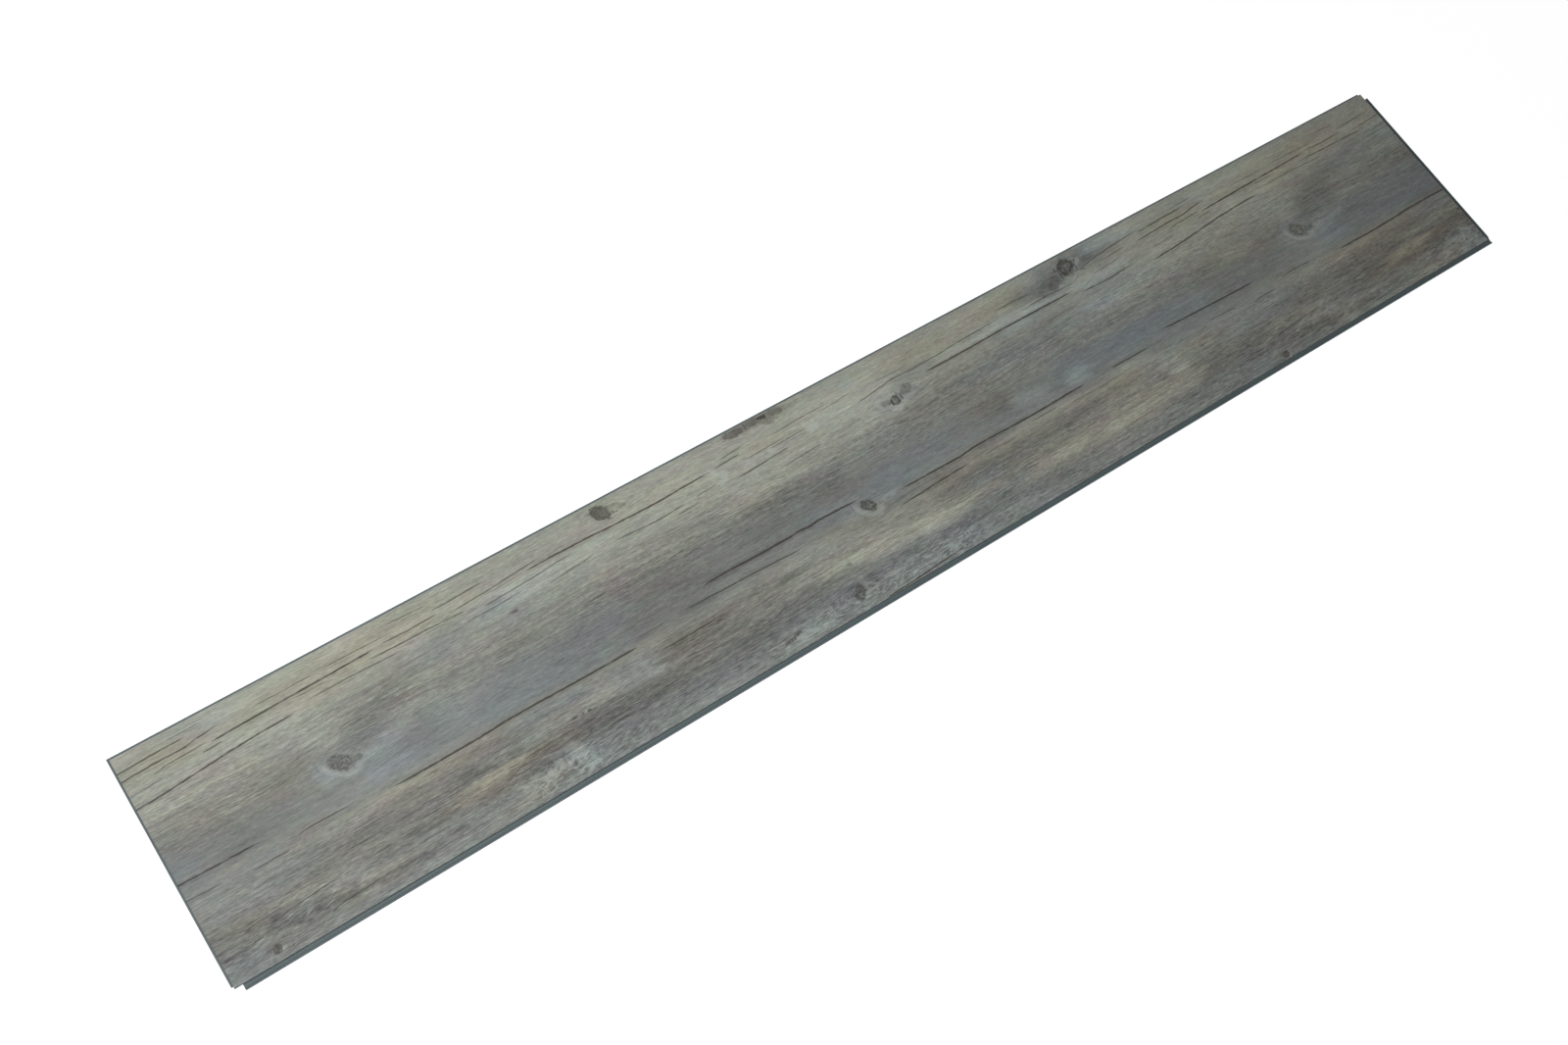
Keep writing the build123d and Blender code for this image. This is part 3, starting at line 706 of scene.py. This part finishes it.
def decor_material(settings):
    """Matt wear layer over a wood print: tints by warmth, lightness from the drawn streaks (painted light and shade
    among them) and stretched noise.
    """
    material, bench = new_material("weathered_wood_print")
    along, fibre, scuffed = bench.parts(bench.attribute("grain"))
    light, warm, streaky = bench.parts(bench.attribute("tone"))
    flat_grain = bench.node("ShaderNodeCombineXYZ", sockets={0: along, 1: fibre})

    def wood(length, width, seed, place=flat_grain, **looks):
        """Noise with blobs of this length and width along the fibres, in millimetres."""
        return bench.noise(place, (length, width, 1), seed, **looks)

    # Grain: hairs, fibres and bands along the wood, torn shade and slow clouds, and short dark dashes in the
    # streaky zones
    hairs = wood(16, 0.55, 3, detail=2)
    fibres = wood(36, 1.15, 5, detail=2)
    bands = wood(65, 3.6, 11, detail=3)
    specks = wood(4.5, 0.75, 29, detail=2, roughness=0.6)
    shade = wood(9, 2.8, 17, detail=5, roughness=0.68, distortion=0.3)
    clouds = wood(34, 12, 23, detail=4, roughness=0.6)
    tints = wood(45, 10, 37, detail=4, roughness=0.6)
    casts = wood(38, 12, 43, detail=5, roughness=0.6)
    patches = bench.ramp(wood(45, 9, 61, detail=3), -0.12, 0.08)
    dashes = wood(17, 0.85, 51, detail=1)
    pores = bench.ramp(dashes, 0.07, 0.20) * patches * streaky
    flecks = bench.ramp(dashes, -0.10, -0.22) * streaky

    # Rough-sawn patches: mottled shade, pale slanting scratches and thin pale curls
    slant = bench.node("ShaderNodeVectorRotate", {"rotation_type": "Z_AXIS"}, {"Vector": flat_grain, "Angle": -0.24})
    scratches = bench.ramp(wood(12, 0.95, 71, slant, detail=2, distortion=0.35), 0.08, 0.17)
    rings = wood(18, 11, 77, detail=3, distortion=1.4)
    curls = (1 - bench.ramp(abs(rings), 0.004, 0.028)) * bench.ramp(scuffed, 0.45, 0.75)
    mottle = wood(17, 6.5, 83, detail=6, roughness=0.68, distortion=0.5)
    torn = bench.math("MAXIMUM", scratches, curls * 0.8)

    # Lightness: the drawn streaks, with the painted light and shade among them, then the grain
    lightness = (
        MEAN_LIGHTNESS
        + light
        + (0.16 + 0.10 * streaky) * hairs
        + (0.17 + 0.14 * streaky) * specks
        + (0.06 + 0.17 * streaky) * fibres
        + (0.09 + 0.05 * streaky) * bands
        + (0.12 + 0.09 * streaky + 0.26 * scuffed) * shade
        + 0.09 * clouds
        - 0.11 * pores
        + 0.04 * flecks
        + scuffed * (mottle * 0.5)
    )
    warmth = 0.5 + 8.5 * (warm + 0.05 * tints + 0.03 * bands)
    tint = bench.blend(bench.ramp(warmth, -0.25, 1.25), settings.cool, settings.warm)
    green = 0.17 * (lightness - 0.5) + 0.20 * casts
    cast = bench.node("ShaderNodeCombineXYZ", sockets={0: 1 - 0.5 * green, 1: 1 + green, 2: 1 - 0.5 * green})
    colour = bench.tinted(bench.vector_math("MULTIPLY", tint, cast), (lightness / TINT_LIGHTNESS) ** SCREEN_GAMMA)
    colour = bench.blend(scuffed * torn * 0.6, colour, settings.scuff)

    # Knots: mottled heart, darker rim with a broken edge
    a, b, halo = bench.parts(bench.attribute("knot"))
    darkness, rim, mottled = bench.parts(bench.attribute("knot_looks"))
    ragged = wood(3.0, 2.0, 91, detail=3)
    distance = (a * a + b * b) ** 0.5 + 0.8 * ragged
    heart = 1 - bench.ramp(distance, 0.8, 1.15)
    edge = bench.ramp(distance, 0.55, 0.8) * (1 - bench.ramp(distance, 1.0, 1.22))
    around = bench.ramp(distance, 1.0, 1.7) * (1 - bench.ramp(distance, 1.5, 2.7)) * bench.ramp(b - 0.4 * a, 0.5, -0.7)
    whorls = bench.ramp(wood(2.2, 1.8, 97, detail=3, distortion=1.5), -0.04, 0.08)
    fill = heart * (1 - 0.65 * rim) * (1 - 0.7 * mottled * whorls)
    gloom = bench.math("MAXIMUM", darkness, 0.0) * fill + abs(darkness) * 1.3 * edge * rim * (0.2 + 0.8 * whorls)
    grit = bench.ramp(wood(1.5, 1.1, 113, detail=2), -0.12, 0.12)
    gloom = gloom * (1 + mottled * (0.9 * grit - 0.45))
    pale = bench.math("MAXIMUM", halo * around * (0.4 + 1.2 * mottle), -1 * darkness * heart * (0.7 + mottle))
    colour = bench.blend(pale, colour, settings.scuff)
    colour = bench.blend(bench.math("MINIMUM", gloom * 1.1, 0.95), colour, settings.knot)

    # Cracks: a crisp wavering line with a soft shade beside it
    waver = wood(5, 4, 103, detail=3)
    broken = bench.ramp(wood(9, 30, 109, detail=3), -0.28, 0.02)
    split = shadow = 0.0
    for k in range(CRACK_LAYERS):
        offset, half_width, depth = bench.parts(bench.attribute(f"crack_{k}"))
        away = abs(offset + 0.9 * waver) / (half_width * (0.75 + 0.6 * broken))
        split = bench.math("MAXIMUM", split, (1 - bench.ramp(away, 0.35, 1.25)) * depth**0.55)
        shadow = bench.math("MAXIMUM", shadow, (1 - bench.ramp(away, 0.4, 2.8)) * depth)
    split = split * (0.6 + 0.4 * broken)
    colour = bench.blend(shadow * 0.16, colour, settings.crack)
    colour = bench.blend(split * 0.95, colour, settings.crack)

    # The bevel and the cut edge show the film from the side
    height = bench.parts(bench.node("ShaderNodeTexCoord", output="Object"))[2]
    edge_share = 1 - bench.ramp(height, DECOR_BOX[1].z - settings.bevel - 0.05 * MM, DECOR_BOX[1].z - 0.2 * MM)
    colour = bench.blend(edge_share * 0.8, colour, settings.film_edge)

    relief = 0.5 + 0.45 * fibres - 0.25 * pores - 0.8 * split + 0.4 * scuffed * (torn - 0.5 + mottle)
    sockets = {
        "Base Color": colour,
        "Roughness": 0.56 + 0.35 * fibres + 0.1 * split,
        "Specular IOR Level": 0.2,
    }
    bench.finish(sockets, relief, 0.12 * MM)
    return material


class PLANK_OT_decor(bpy.types.Operator):
    """Lay the printed and embossed skin over the core"""

    bl_idname = "plank.decor"
    bl_label = "Decor layer"

    def execute(self, context):
        settings = context.scene.plank_decor
        piece = new_object("decor_skin", decor_mesh(settings))
        piece.data.materials.append(decor_material(settings))
        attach(piece, "root")
        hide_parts("decor_layer")
        return {"FINISHED"}


# Core board


def core_material(settings):
    """Chalk-filled vinyl: fine specks and slow mottling, with cutter lines that run along each milled edge, and painted
    shade on the lips' floors.
    """
    material, bench = new_material("milled_vinyl_core")
    place = bench.node("ShaderNodeTexCoord", output="Object")
    x, y, z = bench.parts(place)
    low, high = DECOR_BOX
    end_cut, side_cut = high.x - 6 * MM, high.y - 4.5 * MM
    at_end = bench.ramp(abs(x), end_cut - 0.5 * MM, end_cut + 0.5 * MM)
    at_side = bench.ramp(abs(y), side_cut - 0.5 * MM, side_cut + 0.5 * MM) * (1 - at_end)

    specks = bench.noise(place, (0.55 * MM,) * 3, 0, detail=2)
    mottling = bench.noise(place, (28 * MM, 14 * MM, 14 * MM), 0, detail=4)
    rolled = bench.noise(place, (70 * MM, 1.6 * MM, 9 * MM), 0, detail=4)
    side_lines = bench.noise(place, (40 * MM, 0.28 * MM, 0.28 * MM), 0, detail=2)
    end_lines = bench.noise(place, (0.28 * MM, 40 * MM, 0.28 * MM), 0, detail=2)
    chatter = bench.noise(place, (1.1 * MM, 1.1 * MM, 6 * MM), 0, detail=1)
    lines = side_lines * at_side + end_lines * at_end
    milled = at_side + at_end

    # Painted shade darkens the lips' floors towards the foot of their ridges, where the face's edge shades them, and
    # darkens the whole end lip more, for the lamp's weaker light there
    past_side, past_end = (low.y - y) / MM, (x - high.x) / MM
    side_foot_shade = bench.ramp(past_side, 0.2, 2.5) * (1 - bench.ramp(past_side, 2.7, 3.1))
    end_lip_shade = bench.ramp(past_end, 0.0, 3.4) * (1 - bench.ramp(past_end, 3.7, 4.2))
    lip_painted_shade = bench.math("MAXIMUM", 0.20 * side_foot_shade, 0.24 * end_lip_shade + 0.14 * bench.ramp(past_end, 0.0, 0.2))

    colour = bench.blend(bench.ramp(specks, 0.06, 0.24) * 0.35, settings.body, settings.chalk)
    colour = bench.blend(bench.ramp(lines, 0.02, 0.22) * 0.5, colour, settings.dark)
    shade = 1 + 0.35 * mottling + (0.4 * mottling + 0.7 * rolled) * (1 - milled) + 0.12 * chatter * milled
    # Tone from mottling and the rolled sheet, darkened by the painted shade on the lips' floors
    colour = bench.tinted(colour, shade * (1 - lip_painted_shade))
    relief = 0.5 + 0.3 * specks + 0.6 * lines + 0.5 * rolled * (1 - milled) + 0.3 * chatter * milled
    sockets = {
        "Base Color": colour,
        "Roughness": 0.6 + 0.25 * mottling + 0.3 * lines,
        "Specular IOR Level": 0.35,
    }
    bench.finish(sockets, relief, 0.08 * MM)
    return material


class PLANK_OT_core(bpy.types.Operator):
    """Give the milled core board its grey vinyl"""

    bl_idname = "plank.core"
    bl_label = "Core board"

    def execute(self, context):
        material = core_material(context.scene.plank_core)
        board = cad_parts["core_board"]
        board.data.materials.clear()
        board.data.materials.append(material)
        return {"FINISHED"}


# Studio


def white_to_eye(bench):
    """1 for rays from the camera, a reflection or a clear material, and 0 for rays that carry light."""
    seen = [bench.node("ShaderNodeLightPath", output=f"Is {kind} Ray") for kind in ("Camera", "Glossy", "Transmission")]
    return bench.math("MINIMUM", seen[0] + seen[1] + seen[2], 1.0)


def floor_mesh(side):
    """A square sheet a hair below the underside: the corners of a two by two grid."""
    x, y = np.meshgrid((-side / 2, side / 2), (-side / 2, side / 2))
    mesh = bpy.data.meshes.new("floor")
    points = np.stack((x.ravel(), y.ravel(), np.full(4, -0.05 * MM)), -1)
    mesh.from_pydata(points.tolist(), [], [(0, 1, 3, 2)])
    return mesh


def floor_material():
    """Pale paper: its own glow makes it white to the eye, wholly so far from the plank. Near the plank a part of it
    takes light and keeps the shadow."""
    material, bench = new_material("white_paper")
    place = bench.node("ShaderNodeTexCoord", output="Object")
    fleck = bench.noise(place, (0.02,) * 3, 0, detail=4)
    paper = bench.tinted((0.8, 0.8, 0.8), 1 + 0.03 * fleck)
    paper_shader = bench.node("ShaderNodeBsdfDiffuse", sockets={"Color": paper})
    glow = bench.node("ShaderNodeEmission", sockets={"Color": (1, 1, 1, 1), "Strength": 1.10})
    away = bench.node("ShaderNodeVectorMath", {"operation": "LENGTH"}, {0: place}, output="Value")
    share = white_to_eye(bench) * (0.86 + 0.14 * bench.ramp(away, 0.8, 2.6))
    mixed = bench.node("ShaderNodeMixShader", sockets={0: share, 1: paper_shader, 2: glow})
    bench.node("ShaderNodeOutputMaterial", sockets={"Surface": mixed})
    return material


class PLANK_OT_studio(bpy.types.Operator):
    """Set the plank on a white floor under one soft lamp, with the camera where the photographer stood"""

    bl_idname = "plank.studio"
    bl_label = "Studio"

    def execute(self, context):
        settings, scene = context.scene.plank_studio, context.scene

        floor = new_object("floor", floor_mesh(settings.floor_side))
        floor.data.materials.append(floor_material())

        lamp = bpy.data.lights.new("soft_lamp", "AREA")
        lamp.shape, lamp.size, lamp.energy = "DISK", settings.lamp_size, settings.lamp_power
        new_object("soft_lamp", lamp).location = settings.lamp_place

        world = bpy.data.worlds.new("studio")
        world.use_nodes = True
        scene.world = world
        bench = Bench(world.node_tree)
        eye = white_to_eye(bench)
        strength = settings.room_light * (1 - eye) + eye
        back = bench.node("ShaderNodeBackground", sockets={"Color": (1, 1, 1, 1), "Strength": strength})
        bench.node("ShaderNodeOutputWorld", sockets={"Surface": back})

        camera = bpy.data.cameras.new("camera")
        camera.lens, camera.sensor_width, camera.clip_start, camera.clip_end = settings.camera_lens, 36.0, 0.05, 50.0
        stand = new_object("camera", camera)
        right, up = Vector(settings.camera_right).normalized(), Vector(settings.camera_up).normalized()
        turn = Matrix((right, up, right.cross(up))).transposed()
        stand.matrix_world = Matrix.Translation(settings.camera_place) @ turn.to_4x4()
        scene.camera = stand
        scene.view_settings.view_transform = "Standard"
        return {"FINISHED"}


class PLANK_PT_sidebar(bpy.types.Panel):
    """Lists the plank's pieces and their settings"""

    bl_idname = "PLANK_PT_sidebar"
    bl_label = "Floor plank"
    bl_space_type = "VIEW_3D"
    bl_region_type = "UI"
    bl_category = "Plank"

    def draw(self, context):
        for operator, group, _ in STEPS:
            box = self.layout.box()
            box.operator(operator.bl_idname)
            settings = getattr(context.scene, group)
            for name in settings.__annotations__:
                box.prop(settings, name)


STEPS = (
    (PLANK_OT_core, "plank_core", PlankCoreSettings),
    (PLANK_OT_decor, "plank_decor", PlankDecorSettings),
    (PLANK_OT_studio, "plank_studio", PlankStudioSettings),
)
KINDS = (*(kind for operator, _, settings in STEPS for kind in (settings, operator)), PLANK_PT_sidebar)


def register():
    for kind in KINDS:
        bpy.utils.register_class(kind)
    for _, group, settings in STEPS:
        setattr(bpy.types.Scene, group, PointerProperty(type=settings))


def unregister():
    for _, group, _ in STEPS:
        delattr(bpy.types.Scene, group)
    for kind in reversed(KINDS):
        bpy.utils.unregister_class(kind)


def main():
    register()
    bpy.ops.plank.core()
    bpy.ops.plank.decor()
    bpy.ops.plank.studio()


if __name__ == "__main__":
    main()
